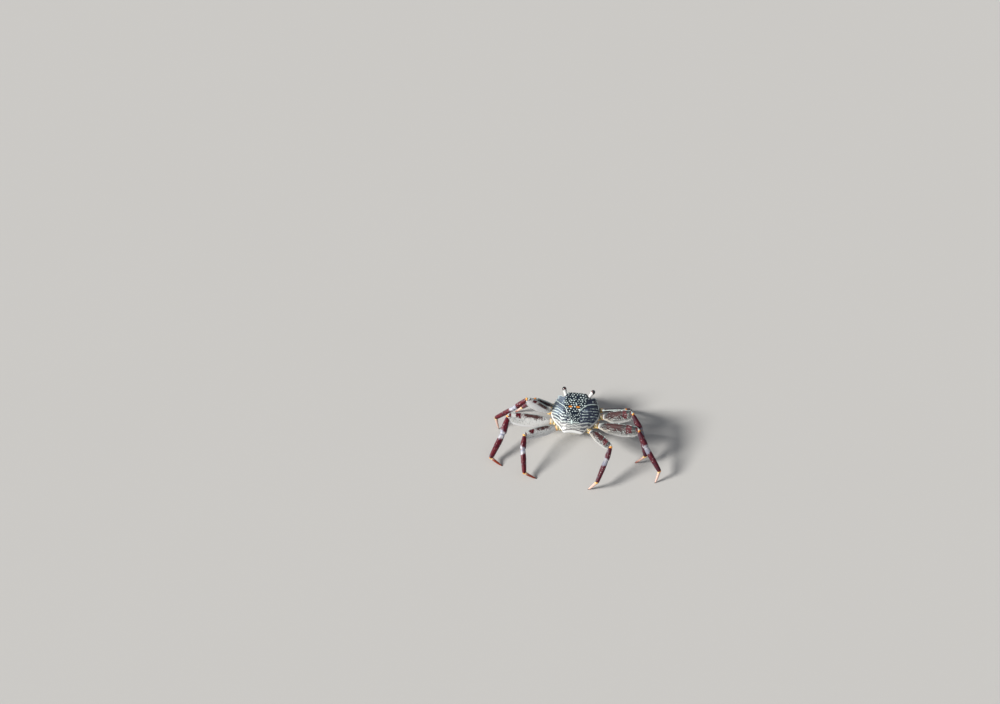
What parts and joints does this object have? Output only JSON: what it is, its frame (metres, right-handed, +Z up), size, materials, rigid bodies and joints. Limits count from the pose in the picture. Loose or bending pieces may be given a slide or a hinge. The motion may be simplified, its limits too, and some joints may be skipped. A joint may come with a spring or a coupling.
{
  "type": "lightfoot shore crab",
  "caption": "Still model of a shore crab standing on its walking legs: patterned carapace, flattened speckled thighs, raised eyestalks, small claws folded in front.",
  "frame": {"origin": "on the floor under the middle of the crab's bounding box", "axes": "+Z up, +Y the way the crab faces (turned 8 degrees towards +X), +X across its legs, towards its right side"},
  "size_m": [0.1488, 0.0974, 0.0424],
  "materials": {
    "carapace_shell": "hard shell, blue-black with cream lines and dots, satin gloss",
    "underside_shell": "hard shell, cream white, satin",
    "hip_shell": "hard shell, cream with orange at the joints, satin",
    "thigh_shell": "hard shell, grey-olive speckled cream with maroon patches, satin gloss",
    "shin_shell": "hard shell, dark maroon with pale rings and streaks, satin gloss",
    "toe_shell": "hard shell, pinkish white to orange-red, satin gloss",
    "claw_shell": "hard shell, maroon with pale dots and pale finger tips, satin gloss",
    "eyestalk_shell": "hard shell, cream white with dark bands, satin",
    "cornea": "smooth, near black with a teal sheen, glossy",
    "joint_skin": "soft skin of the joints, orange-yellow, moist",
    "bristle": "stiff dark bristles"
  },
  "bodies": {
    "root": {"carapace": "carapace_shell", "thorax": "underside_shell", "abdomen": "underside_shell", "maxilliped_left": "underside_shell", "antenna_left": "eyestalk_shell", "eyestalk_left": "eyestalk_shell", "eye_left": "cornea", "leg1_left_hip": "hip_shell", "leg1_left_merus": "thigh_shell", "leg1_left_carpus": "shin_shell", "leg1_left_propodus": "shin_shell", "leg1_left_dactyl": "toe_shell", "leg2_left_hip": "hip_shell", "leg2_left_merus": "thigh_shell", "leg2_left_carpus": "shin_shell", "leg2_left_propodus": "shin_shell", "leg2_left_dactyl": "toe_shell", "leg3_left_hip": "hip_shell", "leg3_left_merus": "thigh_shell", "leg3_left_carpus": "shin_shell", "leg3_left_propodus": "shin_shell", "leg3_left_dactyl": "toe_shell", "leg4_left_hip": "hip_shell", "leg4_left_merus": "thigh_shell", "leg4_left_carpus": "shin_shell", "leg4_left_propodus": "shin_shell", "leg4_left_dactyl": "toe_shell", "claw_left_arm": "claw_shell", "claw_left_wrist": "claw_shell", "claw_left_palm": "claw_shell", "claw_left_finger": "claw_shell", "maxilliped_right": "underside_shell", "antenna_right": "eyestalk_shell", "eyestalk_right": "eyestalk_shell", "eye_right": "cornea", "leg1_right_hip": "hip_shell", "leg1_right_merus": "thigh_shell", "leg1_right_carpus": "shin_shell", "leg1_right_propodus": "shin_shell", "leg1_right_dactyl": "toe_shell", "leg2_right_hip": "hip_shell", "leg2_right_merus": "thigh_shell", "leg2_right_carpus": "shin_shell", "leg2_right_propodus": "shin_shell", "leg2_right_dactyl": "toe_shell", "leg3_right_hip": "hip_shell", "leg3_right_merus": "thigh_shell", "leg3_right_carpus": "shin_shell", "leg3_right_propodus": "shin_shell", "leg3_right_dactyl": "toe_shell", "leg4_right_hip": "hip_shell", "leg4_right_merus": "thigh_shell", "leg4_right_carpus": "shin_shell", "leg4_right_propodus": "shin_shell", "leg4_right_dactyl": "toe_shell", "claw_right_arm": "claw_shell", "claw_right_wrist": "claw_shell", "claw_right_palm": "claw_shell", "claw_right_finger": "claw_shell"}
  },
  "joints": []
}
